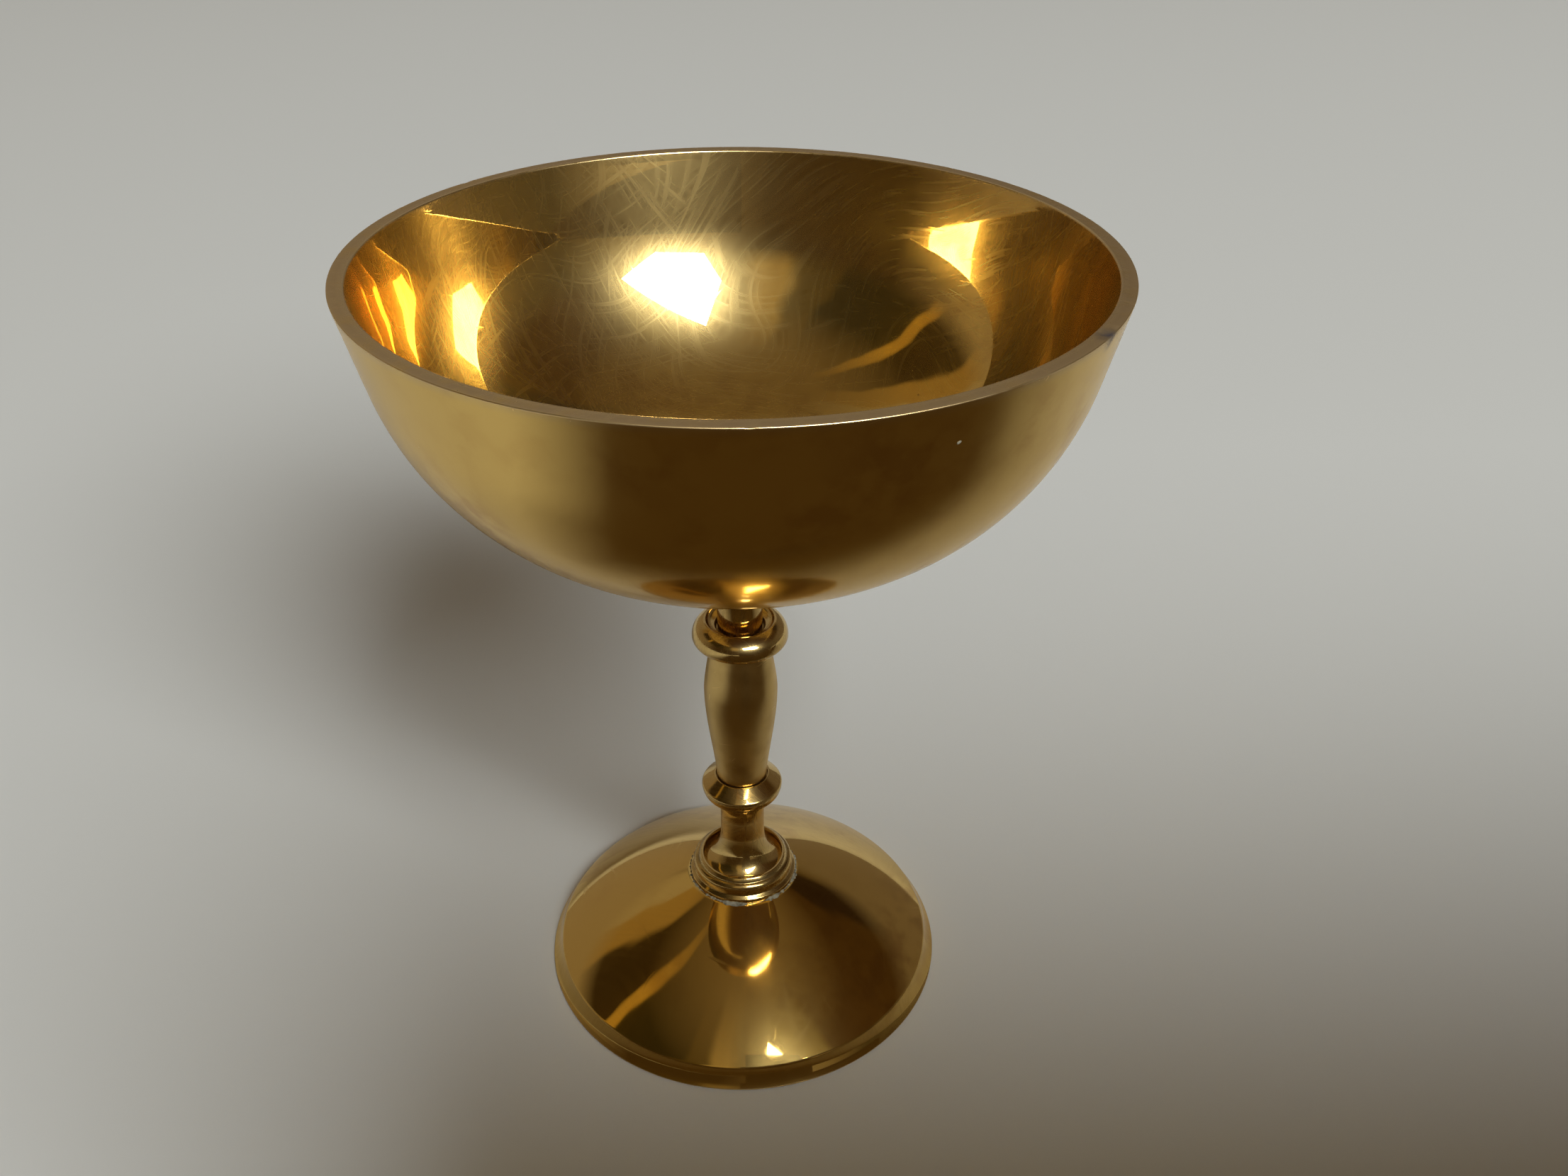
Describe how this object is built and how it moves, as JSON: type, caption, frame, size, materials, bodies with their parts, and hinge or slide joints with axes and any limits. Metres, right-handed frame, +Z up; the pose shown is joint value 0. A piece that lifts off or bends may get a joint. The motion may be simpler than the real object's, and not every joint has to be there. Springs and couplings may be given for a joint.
{
  "type": "ciborium",
  "caption": "Open gilt-brass ciborium: a wide flared bowl on a knopped turned stem and a low domed round foot, held together by a tie rod.",
  "frame": {"origin": "centre of the plane that the foot stands on", "axes": "+Z up along the axis that every piece is turned about, towards the open bowl; X and Y are equivalent"},
  "size_m": [0.127, 0.127, 0.1529],
  "materials": {
    "gilt_brass": "mirror polished, with fine rubbing scratches",
    "stem_brass": "polished, slightly dulled",
    "plated_steel": "dull zinc plate"
  },
  "bodies": {
    "root": {"bowl": "gilt_brass", "foot": "gilt_brass", "bowl_boss": "stem_brass", "upper_knop": "stem_brass", "baluster": "stem_brass", "lower_knop": "stem_brass", "lower_neck": "stem_brass", "base_collar": "stem_brass", "tie_rod": "plated_steel", "foot_washer": "plated_steel", "lock_washer": "plated_steel", "rod_nut": "plated_steel"}
  },
  "joints": []
}
